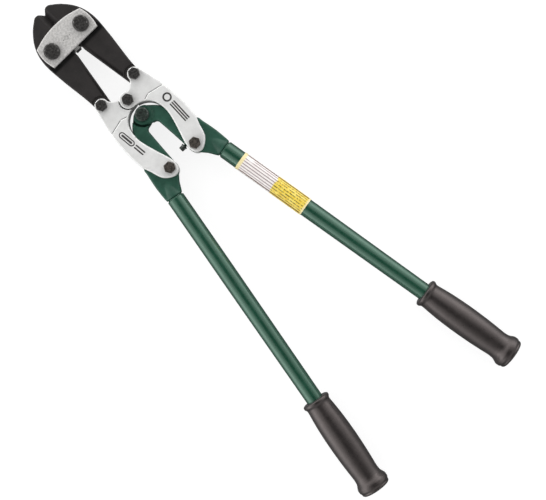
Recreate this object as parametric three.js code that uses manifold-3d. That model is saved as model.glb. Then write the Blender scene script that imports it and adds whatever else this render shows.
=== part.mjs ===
// Bolt cutters, about 770 mm long, lying flat with the jaws towards +Y and the bolt heads up (+Z).
//
// Two jaws turn on two bolts between a front and a back strap. Each jaw's tail is held in the front fork
// of a boomerang-shaped link. The links cross at a centre bolt, half-lapped into each other, and each
// link's rear fork holds the forged head of a handle. The heads are half-lapped too and share a pivot
// bolt, so spreading the handles turns the links and opens the jaws.
//
// Lengths are in millimetres. The working frame has Y = 0 across the middle of the straps, X = 0 on the
// tool's centre line and Z = 0 on its middle plane. The last lines move the finished tool so that
// the origin is the centre of its underside.

import * as THREE from 'three';
import { mergeVertices, toCreasedNormals } from 'three/addons/utils/BufferGeometryUtils.js';
import Module from 'manifold-3d';

const wasm = await Module();
wasm.setup();

// ---------------------------------------------------------------- driving dimensions

const PLAY = 0.3; // gap between two pieces that touch or turn on each other
const RIGHT = 1;
const LEFT = -1;

// Pivots, on the right-hand side; the left-hand ones are their mirror images.
const STRAP_PIVOT = [26.5, 1];
const TAIL_PIVOT = [30.15, -95.3];
const LINK_PIVOT = [0, -114];
const HANDLE_PIVOT = [0, -140.5];
const ARM_PIVOT = [23.15, -216.7];

// Half thicknesses, measured from the middle plane.
const JAW_HALF = 8;
const TAIL_HALF = 6;
const LINK_HALF = 14;
const LINK_FRONT_HALF = 13.2; // the machined area round the front pivots is a little lower
const FORGING_HALF = 8;
const STRAP_INNER = JAW_HALF + PLAY;
const STRAP_OUTER = STRAP_INNER + 6;
const UNDERSIDE = -22; // lowest level: the strap nuts and the flared grip ends rest here

const THROUGH = 20; // cutters for through holes reach this far from the middle plane

// Bolts: shank and head radii, and how far their heads stand up.
const STRAP_SHANK = 7;
const LINK_SHANK = 5;
const HANDLE_SHANK = 6;
const STRAP_HEAD = { radius: 10.9, chamfer: 1.9, height: 6.7 };
const PIVOT_HEAD = { radius: 9.3, chamfer: 1.6, height: 5.9 };
const HEX_HEAD = { across: 14.3, height: 6.6 };

// Nuts across their flats, the levels of their lower faces, and the spring washers.
const STRAP_NUT = 20;
const PIVOT_NUT = 18;
const HEX_NUT = 15.5;
const FRONT_NUT_LEVEL = -21.7;
const ARM_NUT_LEVEL = -21.9;
const PIVOT_NUT_LEVEL = -18.5;
const HEX_WASHER = { radius: 8.6, thickness: 1.4 };
const PIVOT_WASHER = { radius: 9.8, thickness: 1.6 };

// The link-to-link and handle-to-handle pivots get a larger hole in the lower piece, because the
// four-bar motion is followed with constant ratios and drifts a little from the true arc.
const LINK_SLACK = 0.6;
const HANDLE_SLACK = 1.5;

// Jaws.
const BLADE_GAP = 0.15; // each cutting edge stands this far from the centre line
const BLADE_LAND = 0.5; // half thickness of the cutting edge
const BLADE_BEVEL = 7; // width of the ground bevel on each side of the edge
const TAIL_CLEARANCE = 14.5; // radius round the tail pivot that is thinned to fit the link's fork

// Links.
const LINK_EAR = 11.6;
const TAIL_EAR = 9.7;
const LAP_GAP = 1.6; // gap round a half-lapped ear

// Forged handle heads.
const BOSS_RADIUS = 13.6;
const BOSS_CUT = 16.6;
const BOSS_RISE = 2; // the boss stands this far proud of its handle's outer face

// Handles: tube centre line starts at TUBE_START and leans outwards.
const TUBE_START = [45.9, -247.6];
const TUBE_LEAN = THREE.MathUtils.degToRad(9.86);
const TUBE_RADIUS = 12.2;
const TUBE_END_RADIUS = 11.6;
const TUBE_BORE = 9.8;
const TUBE_END = 458;
const TENON_RADIUS = TUBE_BORE - PLAY;
const TENON_LENGTH = 40;
const SEAM = 0.8; // visible joint between forging and tube
const GRIP_START = 325;
const GRIP_END = 472;
const GRIP_FLARE = 22;
const LABEL_START = 27;
const LABEL_END = 133.7;

// ---------------------------------------------------------------- finishes

const finish = (color, roughness, metalness) =>
  new THREE.MeshStandardMaterial({ color, roughness, metalness });

const JAW_STEEL = finish(0x363233, 0.55, 0.6);
const STRAP_STEEL = finish(0xcdc8c6, 0.45, 0.7);
const LINK_STEEL = finish(0xd7d6d6, 0.4, 0.7);
const SPACER_STEEL = finish(0x9a9795, 0.5, 0.7);
const BLACK_OXIDE = finish(0x3c3b39, 0.5, 0.7);
const GREEN_FORGING = finish(0x245442, 0.5, 0.2);
const GREEN_TUBE = finish(0x1b4a33, 0.25, 0.2);
const GRIP_RUBBER = finish(0x5a5250, 0.55, 0);
const LABEL_FILM = finish(0xf2ead8, 0.5, 0);

// ---------------------------------------------------------------- solids

// A closed three.js geometry as a solid that can be joined and cut.
function solidOf(source) {
  const geometry = (source.index ? source.toNonIndexed() : source).clone();
  geometry.deleteAttribute('normal');
  geometry.deleteAttribute('uv');
  const merged = mergeVertices(geometry, 1e-4);
  const corners = merged.index.array;
  const triangles = [];
  for (let i = 0; i < corners.length; i += 3) {
    const [a, b, c] = corners.slice(i, i + 3);
    if (a !== b && b !== c && c !== a) triangles.push(a, b, c);
  }
  const mesh = new wasm.Mesh({
    numProp: 3,
    vertProperties: new Float32Array(merged.attributes.position.array),
    triVerts: new Uint32Array(triangles),
  });
  return new wasm.Manifold(mesh);
}

function geometryOf(solid) {
  const mesh = solid.getMesh();
  const geometry = new THREE.BufferGeometry();
  geometry.setAttribute('position', new THREE.BufferAttribute(mesh.vertProperties, 3));
  geometry.setIndex(new THREE.BufferAttribute(mesh.triVerts, 1));
  return toCreasedNormals(geometry, THREE.MathUtils.degToRad(35));
}

const cutAll = (solid, cutters) => cutters.reduce((rest, cutter) => rest.subtract(cutter), solid);

// Points of a circular arc, angles in degrees.
function arc([x, y], radius, from, to, steps) {
  const points = [];
  for (let i = 0; i <= steps; i += 1) {
    const angle = THREE.MathUtils.degToRad(from + ((to - from) * i) / steps);
    points.push([x + radius * Math.cos(angle), y + radius * Math.sin(angle)]);
  }
  return points;
}

// Points of a smooth curve through the given places.
function smooth(places, steps) {
  const curve = new THREE.SplineCurve(places.map(([x, y]) => new THREE.Vector2(x, y)));
  return curve.getPoints(steps).map((point) => [point.x, point.y]);
}

// A flat plate from an outline, with a chamfer along its top and bottom edges.
function plate(outline, low, high, chamfer = 0) {
  const shape = new THREE.Shape(outline.map(([x, y]) => new THREE.Vector2(x, y)));
  const geometry = new THREE.ExtrudeGeometry(shape, {
    depth: high - low - 2 * chamfer,
    bevelEnabled: chamfer > 0,
    bevelThickness: chamfer,
    bevelSize: chamfer,
    bevelOffset: -chamfer,
    bevelSegments: 1,
  });
  geometry.translate(0, 0, low + chamfer);
  return solidOf(geometry);
}

// A turned shape: the profile's points are [radius, height], and it stands along +Z.
function turned(profile, segments = 24) {
  const points = profile.map(([radius, height]) => new THREE.Vector2(radius, height));
  const geometry = new THREE.LatheGeometry(points, segments);
  geometry.rotateX(Math.PI / 2);
  return geometry;
}

// A round bar along +Z with chamfered ends, as a profile for turned().
function barProfile(radius, low, high, chamferLow = 0, chamferHigh = 0) {
  const profile = [[0, low]];
  if (chamferLow > 0) profile.push([radius - chamferLow, low]);
  profile.push([radius, low + chamferLow], [radius, high - chamferHigh]);
  if (chamferHigh > 0) profile.push([radius - chamferHigh, high]);
  profile.push([0, high]);
  return profile;
}

function bar(radius, low, high, segments = 24) {
  return solidOf(turned(barProfile(radius, low, high), segments));
}

const barAt = ([x, y], radius, low, high, segments) =>
  bar(radius, low, high, segments).translate([x, y, 0]);

// The cutter for a hole right through the tool.
const hole = (place, radius) => barAt(place, radius, -THROUGH, THROUGH);

// Mirrored copies of a point or an outline on the other side of the tool.
const sided = (side, [x, y]) => [side * x, y];
const sidedOutline = (side, outline) => outline.map((point) => sided(side, point));

// A turned profile laid along the tube of one handle: heights run down the tube from TUBE_START.
function alongTube(side, profile, segments = 24) {
  const geometry = turned(profile, segments);
  geometry.rotateX(Math.PI / 2);
  geometry.rotateZ(side * TUBE_LEAN);
  geometry.translate(side * TUBE_START[0], TUBE_START[1], 0);
  return solidOf(geometry);
}

// ---------------------------------------------------------------- jaws

function jaw(side) {
  const nose = smooth([[BLADE_GAP, 45], [2.8, 47.9], [6.1, 50.4], [9.8, 51.3], [13.4, 50.5], [16.7, 48]], 8);
  const back = smooth([[16.7, 48], [25.3, 41.2], [34.5, 30.6], [40.1, 21.3], [43.8, 11.4], [45.7, 1],
    [46.1, -10], [45.2, -23], [43.2, -43], [40.5, -63], [38.7, -80], [38.15, -94]], 20).slice(1);
  const tail = arc(TAIL_PIVOT, 8, 0, -90, 5);
  const throat = [[22.6, -103.2], [18.9, -100.8], [17.9, -96], [12.8, -64.1], [8.9, -41.5],
    [6.1, -22.9], [6, -16], [3.4, -8], [BLADE_GAP, -1]];
  const outline = sidedOutline(side, [...nose, ...back, ...tail, ...throat]);
  const blank = plate(outline, -JAW_HALF, JAW_HALF, 1.2);

  const [tailX, tailY] = sided(side, TAIL_PIVOT);
  const thinning = [1, -1].map((face) => bar(TAIL_CLEARANCE, TAIL_HALF, JAW_HALF + 1, 32)
    .rotate([face > 0 ? 0 : 180, 0, 0]).translate([tailX, tailY, 0]));
  const holes = [
    hole(sided(side, STRAP_PIVOT), STRAP_SHANK + PLAY),
    hole([tailX, tailY], LINK_SHANK + PLAY),
  ];
  return geometryOf(cutAll(blank, [...thinning, ...bladeBevels(side), ...holes]));
}

// Two wedges, above and below the cutting edge, that grind the blade's bevels.
function bladeBevels(side) {
  const rise = (JAW_HALF - BLADE_LAND) / BLADE_BEVEL;
  const over = JAW_HALF + 1;
  const start = BLADE_GAP - 1;
  const section = [
    [start, BLADE_LAND - rise],
    [BLADE_GAP + (over - BLADE_LAND) / rise, over],
    [start, over],
  ];
  return [1, -1].map((face) => {
    const outline = section.map(([x, z]) => [side * x, face * z]);
    return plate(outline, -60, 7).rotate([90, 0, 0]);
  });
}

// ---------------------------------------------------------------- straps and what they clamp

function strap(face) {
  const top = smooth([[-39.7, 17.2], [-20.4, 22.6], [0, 24.3], [20.4, 22.6], [39.7, 17.2]], 12);
  const right = smooth([[39.7, 17.2], [41.7, 9.8], [42.4, 1.9], [41.8, -7.4], [39.6, -15.8]], 6).slice(1);
  const left = right.map(([x, y]) => [-x, y]).reverse();
  const blank = plate([...top, ...right, ...left], STRAP_INNER, STRAP_OUTER, 1);
  const holes = [RIGHT, LEFT].map((side) => hole(sided(side, STRAP_PIVOT), STRAP_SHANK + PLAY));
  const plateSolid = cutAll(blank, holes);
  return geometryOf(face > 0 ? plateSolid : plateSolid.rotate([0, 180, 0]));
}

// Block between the straps, behind the blades, that keeps the straps apart and the jaws centred.
function centreSpacer() {
  const outline = [[-2.4, -10.5], [2.4, -10.5], [4.1, -15.5], [4.1, -19.3], [-4.1, -19.3], [-4.1, -15.5]];
  return geometryOf(plate(outline, -JAW_HALF, JAW_HALF, 0.6));
}

// ---------------------------------------------------------------- links

const LINK_PIVOT_BOTTOM = [LINK_PIVOT[0], LINK_PIVOT[1] - LINK_EAR];

function linkOutline() {
  const centreEar = arc(LINK_PIVOT, LINK_EAR, 48, 270, 18);
  const inner = smooth([LINK_PIVOT_BOTTOM, [9.3, -127.4], [17.9, -132.7], [23.8, -140.6], [26.5, -151.1],
    [26.9, -161.7], [24.5, -173.6], [19.9, -189.4], [14.6, -205.2], [12.6, -215.8]], 20).slice(1);
  const heel = smooth([[12.6, -215.8], [14, -222.6], [17.5, -227.6], [23.8, -229.6], [30.6, -227.1],
    [38.3, -221], [42.3, -213.2], [45.2, -202.6], [49.6, -192]], 15).slice(1);
  const outer = smooth([[49.6, -192], [50.9, -176.2], [50.9, -163], [49.8, -143.2], [48.1, -130],
    [45, -116.8], [41.7, -103.6], [39.85, -95.6]], 9).slice(1);
  const tailEar = arc(TAIL_PIVOT, TAIL_EAR, 0, 185, 13).slice(1);
  const saddle = smooth([tailEar.at(-1), [18.4, -99.4], [14.6, -102.5], [11, -104.5], centreEar[0]], 6)
    .slice(1, -1);
  return [...centreEar, ...inner, ...heel, ...outer, ...tailEar, ...saddle];
}

function link(side) {
  const blank = plate(sidedOutline(side, linkOutline()), -LINK_HALF, LINK_HALF, 1.4);

  // The right-hand ear is the upper one, so each link loses the other half round the centre bolt.
  const lap = barAt(LINK_PIVOT, LINK_EAR + LAP_GAP, -PLAY / 2, LINK_HALF + 1, 32)
    .rotate(side === RIGHT ? [0, 180, 0] : [0, 0, 0]);

  // Machined front area, on both faces, ahead of a slanting step.
  const ahead = sidedOutline(side, [[-40, -131], [14, -131], [21.2, -128.7], [25.2, -127.4],
    [60, -135.6], [60, -78], [-40, -78]]);
  const facing = [
    plate(ahead, LINK_FRONT_HALF, LINK_HALF + 1),
    plate(ahead, -LINK_HALF - 1, -LINK_FRONT_HALF),
  ];

  const tailFork = barAt(sided(side, TAIL_PIVOT), TAIL_CLEARANCE, -TAIL_HALF - PLAY, TAIL_HALF + PLAY, 32);
  const armFork = plate(sidedOutline(side, [[0, -136], [20, -136], [26.6, -139], [31, -146], [33.2, -154],
    [34, -164], [35, -171], [38, -178], [44, -183.2], [60, -192.2], [60, -240], [0, -240]]),
  -FORGING_HALF - PLAY, FORGING_HALF + PLAY);

  const centreHole = LINK_SHANK + PLAY + (side === LEFT ? LINK_SLACK : 0);
  const holes = [
    hole(LINK_PIVOT, centreHole),
    hole(sided(side, TAIL_PIVOT), LINK_SHANK + PLAY),
    hole(sided(side, ARM_PIVOT), LINK_SHANK + PLAY),
  ];
  return geometryOf(cutAll(blank, [lap, ...facing, tailFork, armFork, ...holes]));
}

// ---------------------------------------------------------------- forged handle heads

function forgingOutline() {
  const roof = smooth([[-11, -136], [-5.5, -131.8], [-0.5, -129.8], [5.5, -130.2], [10.4, -132.6]], 6);
  const outer = smooth([[20.3, -141.6], [25, -147], [28.4, -154], [30.2, -163], [31.2, -172], [34, -180],
    [40, -186.2], [49.6, -192.8], [51.5, -202], [54.3, -215], [56.4, -228.3], [57.9, -245.4]], 18);
  const inner = smooth([[33.8, -249.8], [30.7, -243.4], [26.7, -236.6], [20.5, -229.4], [14.8, -221],
    [12.9, -211], [12.2, -199], [10.8, -178], [9.5, -161]], 12);
  const neck = [[7.2, -158.2], [0, -156.6], [-4, -154.6]];
  const boss = arc(HANDLE_PIVOT, BOSS_RADIUS, 240, 164, 7);
  return [...roof, ...outer, ...inner, ...neck, ...boss];
}

function forging(side) {
  const blank = plate(sidedOutline(side, forgingOutline()), -FORGING_HALF, FORGING_HALF, 1.6);

  // The flat forging swells into a round end as thick as the tube, with a tenon inside the tube.
  const swell = alongTube(side, [[0, -24], [7.6, -24], [8.4, -19], [10, -12], [11.5, -6],
    [TUBE_RADIUS, -1.5], [TUBE_RADIUS, 0], [0, 0]]);
  const envelope = alongTube(side, [[0, -300], [250, -300], [250, -60], [34, -30], [19, -12],
    [14, -5], [TUBE_RADIUS, -1], [TUBE_RADIUS, 0], [0, 0]]);
  const tenon = alongTube(side, barProfile(TENON_RADIUS, -4, TENON_LENGTH, 0, 1), 20);
  const boss = barAt(HANDLE_PIVOT, BOSS_RADIUS, 0, FORGING_HALF + BOSS_RISE, 32)
    .rotate(side === RIGHT ? [0, 0, 0] : [0, 180, 0])
    .intersect(plate(sidedOutline(side, forgingOutline()), -LINK_HALF, LINK_HALF));
  const body = blank.add(swell).intersect(envelope).add(tenon).add(boss);

  // The right-hand boss is the upper one.
  const lap = barAt(HANDLE_PIVOT, BOSS_CUT, -PLAY / 2, LINK_HALF, 32)
    .rotate(side === RIGHT ? [0, 180, 0] : [0, 0, 0]);
  const pivotHole = HANDLE_SHANK + PLAY + (side === LEFT ? HANDLE_SLACK : 0);
  const cuts = [
    lap,
    hole(HANDLE_PIVOT, pivotHole),
    hole(sided(side, ARM_PIVOT), LINK_SHANK + PLAY),
  ];
  if (side === RIGHT) cuts.push(stopScrewHole());
  return geometryOf(cutAll(body, cuts));
}

// ---------------------------------------------------------------- stop screw on the right handle

const STOP_Y = -208.7;
const STOP_TIP = 3.7;
const STOP_HEAD_RADIUS = 3.65;
const STOP_HEAD_LENGTH = 4.6;
const STOP_SHANK_RADIUS = 2.2;
const STOP_SHANK_LENGTH = 8;
const STOP_NUT_LENGTH = 2.7;

function stopScrewHole() {
  return bar(STOP_SHANK_RADIUS + PLAY, 0, STOP_TIP + STOP_HEAD_LENGTH + STOP_SHANK_LENGTH + PLAY, 20)
    .rotate([0, 90, 0]).translate([0, STOP_Y, 0]);
}

function stopScrew() {
  const neck = STOP_HEAD_LENGTH;
  return turned([[0, 0], [STOP_HEAD_RADIUS - 0.8, 0], [STOP_HEAD_RADIUS, 0.8], [STOP_HEAD_RADIUS, neck],
    [STOP_SHANK_RADIUS, neck], [STOP_SHANK_RADIUS, neck + STOP_SHANK_LENGTH],
    [0, neck + STOP_SHANK_LENGTH]], 20);
}

// ---------------------------------------------------------------- fasteners, built along +Z

// A hexagon with its corners trimmed to a cone on the faces named by trims.
function hexagon(acrossFlats, low, high, trimLow, trimHigh) {
  const corner = acrossFlats / Math.sqrt(3);
  const trim = corner - acrossFlats * 0.47;
  const drop = trim * 0.6;
  const prism = plate(arc([0, 0], corner, 0, 300, 5), low, high);
  const profile = [[0, low]];
  if (trimLow) profile.push([corner - trim, low], [corner, low + drop]);
  else profile.push([corner + 1, low]);
  if (trimHigh) profile.push([corner, high - drop], [corner - trim, high]);
  else profile.push([corner + 1, high]);
  profile.push([0, high]);
  return prism.intersect(solidOf(turned(profile, 12)));
}

const POINT = 0.8; // chamfer at the end of each shank
const SHORT = 0.3; // each shank ends this far inside its nut

function hexBolt(head, shankRadius, headLow, end) {
  const shank = solidOf(turned(barProfile(shankRadius, end, headLow + 1, POINT), 16));
  return geometryOf(hexagon(head.across, headLow, headLow + head.height, false, true).add(shank));
}

function roundBolt(head, shankRadius, headLow, end) {
  const headHigh = headLow + head.height;
  return turned([[0, end], [shankRadius - POINT, end], [shankRadius, end + POINT], [shankRadius, headLow],
    [head.radius - 0.4, headLow], [head.radius, headLow + 0.4], [head.radius, headHigh - head.chamfer],
    [head.radius - head.chamfer, headHigh], [0, headHigh]]);
}

function nut(acrossFlats, boltRadius, low, high) {
  return geometryOf(hexagon(acrossFlats, low, high, true, true)
    .subtract(bar(boltRadius + PLAY, low - 1, high + 1, 16)));
}

// A split spring washer: a square-section ring with a narrow slit.
function springWasher({ radius, thickness }, boltRadius, high) {
  const inner = boltRadius + PLAY;
  const low = high - thickness;
  const section = [[inner, low], [radius, low], [radius, high], [inner, high], [inner, low]];
  const ring = solidOf(turned(section, 16));
  const slit = solidOf(new THREE.BoxGeometry(radius + 2, 0.8, thickness + 2))
    .translate([radius / 2 + 1.5, 0, (low + high) / 2]);
  return geometryOf(ring.subtract(slit));
}

// ---------------------------------------------------------------- tubes, grips and label sleeve

// These are turned along +Z, and each handle's frame lays them along it.
function tube() {
  return turned([[TUBE_BORE, SEAM], [TUBE_RADIUS - 0.4, SEAM], [TUBE_RADIUS, SEAM + 0.4],
    [TUBE_RADIUS, LABEL_END], [TUBE_END_RADIUS, GRIP_START], [TUBE_END_RADIUS, TUBE_END],
    [TUBE_BORE, TUBE_END], [TUBE_BORE, SEAM]]);
}

function grip() {
  const bore = TUBE_END_RADIUS + PLAY;
  const collar = [[17.6, GRIP_START], [18.9, GRIP_START + 1.3], [18.9, GRIP_START + 7],
    [17.2, GRIP_START + 10.5]];
  const hold = smooth([[16, 341.6], [16.9, 352], [18.6, 364.5], [20.1, 388], [19.3, 418.5],
    [18, 436], [17.6, 446], [19.6, 454], [GRIP_FLARE, 462]], 12);
  const end = [[GRIP_FLARE, 465.5], [20.4, 469.3], [17, GRIP_END - 0.4], [14, GRIP_END], [0, GRIP_END]];
  return turned([[0, TUBE_END + PLAY], [bore, TUBE_END + PLAY], [bore, GRIP_START],
    ...collar, ...hold, ...end], 20);
}

function labelSleeve() {
  const inner = TUBE_RADIUS + PLAY;
  const outer = inner + 0.35;
  return turned([[inner, LABEL_START], [outer, LABEL_START], [outer, LABEL_END], [inner, LABEL_END],
    [inner, LABEL_START]]);
}

// ---------------------------------------------------------------- assembly

const tool = new THREE.Group();

function add(name, geometry, material, parent = tool, place = [0, 0]) {
  const mesh = new THREE.Mesh(geometry, material);
  mesh.name = name;
  mesh.position.set(place[0], place[1], 0);
  parent.add(mesh);
  return mesh;
}

// A hexagon bolt with its spring washer and nut, through a link whose faces are at plus and minus `face`.
function addHexFastener(name, place, face, nutEnd) {
  const gripFace = face + PLAY;
  const nutHigh = -gripFace - HEX_WASHER.thickness - PLAY;
  add(`${name}_bolt`, hexBolt(HEX_HEAD, LINK_SHANK, gripFace, nutEnd + SHORT), BLACK_OXIDE, tool, place);
  add(`${name}_washer`, springWasher(HEX_WASHER, LINK_SHANK, -gripFace), BLACK_OXIDE, tool, place);
  add(`${name}_nut`, nut(HEX_NUT, LINK_SHANK, nutEnd, nutHigh), BLACK_OXIDE, tool, place);
}

add('strap_front', strap(1), STRAP_STEEL);
add('strap_back', strap(-1), STRAP_STEEL);
add('centre_spacer', centreSpacer(), SPACER_STEEL);

for (const [side, word] of [[LEFT, 'left'], [RIGHT, 'right']]) {
  const strapPlace = sided(side, STRAP_PIVOT);
  add(`jaw_${word}`, jaw(side), JAW_STEEL);
  add(`strap_bolt_${word}`, roundBolt(STRAP_HEAD, STRAP_SHANK, STRAP_OUTER + PLAY, UNDERSIDE + SHORT),
    BLACK_OXIDE, tool, strapPlace);
  add(`strap_nut_${word}`, nut(STRAP_NUT, STRAP_SHANK, UNDERSIDE, -STRAP_OUTER - PLAY), BLACK_OXIDE, tool,
    strapPlace);

  add(`link_${word}`, link(side), LINK_STEEL);
  addHexFastener(`jaw_tail_${word}`, sided(side, TAIL_PIVOT), LINK_FRONT_HALF, FRONT_NUT_LEVEL);
  addHexFastener(`handle_link_${word}`, sided(side, ARM_PIVOT), LINK_HALF, ARM_NUT_LEVEL);

  add(`handle_head_${word}`, forging(side), GREEN_FORGING);

  const handleFrame = new THREE.Group();
  handleFrame.position.set(side * TUBE_START[0], TUBE_START[1], 0);
  handleFrame.rotation.set(Math.PI / 2, 0, side * TUBE_LEAN, 'ZYX');
  tool.add(handleFrame);
  add(`handle_tube_${word}`, tube(), GREEN_TUBE, handleFrame);
  add(`grip_${word}`, grip(), GRIP_RUBBER, handleFrame);
  if (side === RIGHT) add('label_sleeve', labelSleeve(), LABEL_FILM, handleFrame);
}

addHexFastener('link_pivot', LINK_PIVOT, LINK_FRONT_HALF, FRONT_NUT_LEVEL);

const BOSS_GRIP = FORGING_HALF + BOSS_RISE + PLAY;
add('handle_pivot_bolt', roundBolt(PIVOT_HEAD, HANDLE_SHANK, BOSS_GRIP, PIVOT_NUT_LEVEL + SHORT),
  BLACK_OXIDE, tool, HANDLE_PIVOT);
const PIVOT_NUT_HIGH = -BOSS_GRIP - PIVOT_WASHER.thickness - PLAY;
add('handle_pivot_washer', springWasher(PIVOT_WASHER, HANDLE_SHANK, -BOSS_GRIP),
  BLACK_OXIDE, tool, HANDLE_PIVOT);
add('handle_pivot_nut', nut(PIVOT_NUT, HANDLE_SHANK, PIVOT_NUT_LEVEL, PIVOT_NUT_HIGH),
  BLACK_OXIDE, tool, HANDLE_PIVOT);

const screw = add('stop_screw', stopScrew(), BLACK_OXIDE, tool, [STOP_TIP, STOP_Y]);
screw.rotation.y = Math.PI / 2;
const lockNut = add('stop_lock_nut', nut(8, STOP_SHANK_RADIUS, 0, STOP_NUT_LENGTH), BLACK_OXIDE, tool,
  [STOP_TIP + STOP_HEAD_LENGTH + PLAY, STOP_Y]);
lockNut.rotation.y = Math.PI / 2;

// The origin goes to the centre of the underside.
const box = new THREE.Box3().setFromObject(tool, true);
const centre = box.getCenter(new THREE.Vector3());
tool.position.set(-centre.x, -centre.y, -box.min.z);

export default tool;
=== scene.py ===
import math

import bmesh
import bpy
import numpy as np
from mathutils import Matrix, Vector


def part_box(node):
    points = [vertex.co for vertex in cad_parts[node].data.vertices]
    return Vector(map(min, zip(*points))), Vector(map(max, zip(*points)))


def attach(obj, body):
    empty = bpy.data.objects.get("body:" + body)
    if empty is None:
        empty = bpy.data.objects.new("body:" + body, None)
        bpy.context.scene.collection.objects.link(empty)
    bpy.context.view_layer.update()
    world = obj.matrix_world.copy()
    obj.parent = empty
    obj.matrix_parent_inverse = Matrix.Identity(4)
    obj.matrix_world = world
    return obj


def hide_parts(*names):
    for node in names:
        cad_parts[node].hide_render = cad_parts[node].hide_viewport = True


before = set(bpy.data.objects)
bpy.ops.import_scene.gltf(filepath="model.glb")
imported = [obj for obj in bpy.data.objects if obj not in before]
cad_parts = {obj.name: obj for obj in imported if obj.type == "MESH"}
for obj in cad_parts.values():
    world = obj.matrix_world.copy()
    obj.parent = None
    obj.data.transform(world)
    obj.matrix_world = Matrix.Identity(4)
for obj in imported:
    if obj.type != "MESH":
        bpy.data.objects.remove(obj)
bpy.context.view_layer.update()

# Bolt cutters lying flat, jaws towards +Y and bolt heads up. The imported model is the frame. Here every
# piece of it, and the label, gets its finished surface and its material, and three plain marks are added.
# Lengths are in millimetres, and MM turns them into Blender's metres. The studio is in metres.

MM = 0.001
LEFT, RIGHT = -1, 1
SIDES = ((LEFT, "left"), (RIGHT, "right"))
ROUND = 96  # segments round a turned piece
RINGS_PER_TURN = 6  # of a screw thread
SHARP = math.radians(32)  # a corner sharper than this keeps its edge in the shading
JOIN_WITHIN = 0.002  # corners of the frame's meshes that are this close are one
SHORTEST_EDGE = 0.001
ON_AXIS = 1e-6
RECAST_VOXEL = 0.6
RECAST_KEEP = 0.3  # share of its triangles that a recast piece keeps
LARGE_FLAT = 12.0  # mm2: a flat face larger than this gets a border
FLAT_BORDER = 0.45
ROUND_FACE = 0.47  # radius of a hexagon's round face, as a share of its width across the flats
CORNER_CONE = math.radians(30)

scene = bpy.context.scene


# ------------------------------------------------------------------ camera, light and floor

CAMERA_PLACE = Vector((-0.0023, -0.0577, 1.6993))
CAMERA_TURN = math.radians(-44.52)
CAMERA_ANGLE = math.radians(24.44)
TENT_LOW = 2.6  # brightness of the light tent low down all round
TENT_HIGH = 0.01  # and straight above
TENT_BEHIND = 0.30  # share of that brightness on the grips' side
TENT_BELOW = 0.08  # share of it that comes from under the tool
ABOVE_FADE = (0.30, 1.0)  # upward part of a direction, from where the tent darkens to its darkest
BEHIND_FADE = (-0.75, 0.15)  # forward part of a direction, from where it is TENT_BEHIND to full
BELOW_FADE = (-0.45, 0.25)  # upward part of a direction, from where it is TENT_BELOW to full
SIDE_PLACE, SIDE_SIZE, SIDE_POWER = (1.35, -0.1, 0.95), (0.9, 2.4), 3  # the right-hand softbox
NOSE_PLACE, NOSE_SIZE, NOSE_POWER = (0.0, 1.9, 1.25), (2.0, 1.0), 4
AIM = Vector((0, 0, 0.02))  # the softboxes point at the middle of the tool
FLOOR_SIZE = 160.0
FLOOR_GLOW = 0.84
WHITE = (1, 1, 1, 1)


def make_camera():
    camera = bpy.data.objects.new("camera", bpy.data.cameras.new("camera"))
    camera.location = CAMERA_PLACE
    camera.rotation_euler = (0, 0, CAMERA_TURN)
    camera.data.angle = CAMERA_ANGLE
    scene.collection.objects.link(camera)
    scene.camera = camera


def make_softbox(name, place, size, power):
    lamp = bpy.data.lights.new(name, "AREA")
    lamp.shape = "RECTANGLE"
    lamp.size, lamp.size_y = size
    lamp.energy = power
    box = bpy.data.objects.new(name, lamp)
    box.location = place
    box.rotation_euler = (AIM - Vector(place)).to_track_quat("-Z", "Y").to_euler()
    scene.collection.objects.link(box)


def make_studio():
    """A light tent: bright low down all round, dark straight above, with softboxes beside and ahead."""
    world = bpy.data.worlds.new("tent")
    world.use_nodes = True
    nodes, links = world.node_tree.nodes, world.node_tree.links
    direction = nodes.new("ShaderNodeTexCoord")
    parts = nodes.new("ShaderNodeSeparateXYZ")
    links.new(direction.outputs["Generated"], parts.inputs[0])

    def fade(axis, start, end, from_value, to_value):
        ramp = nodes.new("ShaderNodeMapRange")
        settings = {"From Min": start, "From Max": end, "To Min": from_value, "To Max": to_value}
        for socket, value in settings.items():
            ramp.inputs[socket].default_value = value
        links.new(parts.outputs[axis], ramp.inputs["Value"])
        return ramp.outputs["Result"]

    def times(first, second):
        product = nodes.new("ShaderNodeMath")
        product.operation = "MULTIPLY"
        links.new(first, product.inputs[0])
        links.new(second, product.inputs[1])
        return product.outputs[0]

    above = fade("Z", *ABOVE_FADE, TENT_LOW, TENT_HIGH)
    behind = fade("Y", *BEHIND_FADE, TENT_BEHIND, 1.0)
    below = fade("Z", *BELOW_FADE, TENT_BELOW, 1.0)
    links.new(times(times(above, behind), below), nodes["Background"].inputs["Strength"])
    nodes["Background"].inputs["Color"].default_value = WHITE
    scene.world = world
    scene.view_settings.view_transform = "Standard"

    x, y, z = SIDE_PLACE
    for side, word in SIDES[::-1]:
        make_softbox(f"softbox_{word}", (side * x, y, z), SIDE_SIZE, SIDE_POWER)
    make_softbox("softbox_nose", NOSE_PLACE, NOSE_SIZE, NOSE_POWER)


def make_floor():
    """A wide sheet, hidden from reflections and bounced light, so that it lights nothing from below."""
    half = FLOOR_SIZE / 2
    corners = [(-half, -half, 0), (half, -half, 0), (half, half, 0), (-half, half, 0)]
    floor = new_piece("floor", corners, [(0, 1, 2, 3)])
    floor.data.materials.append(floor_paper())
    floor.visible_diffuse = False
    floor.visible_glossy = False


# ------------------------------------------------------------------ procedural materials


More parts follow.
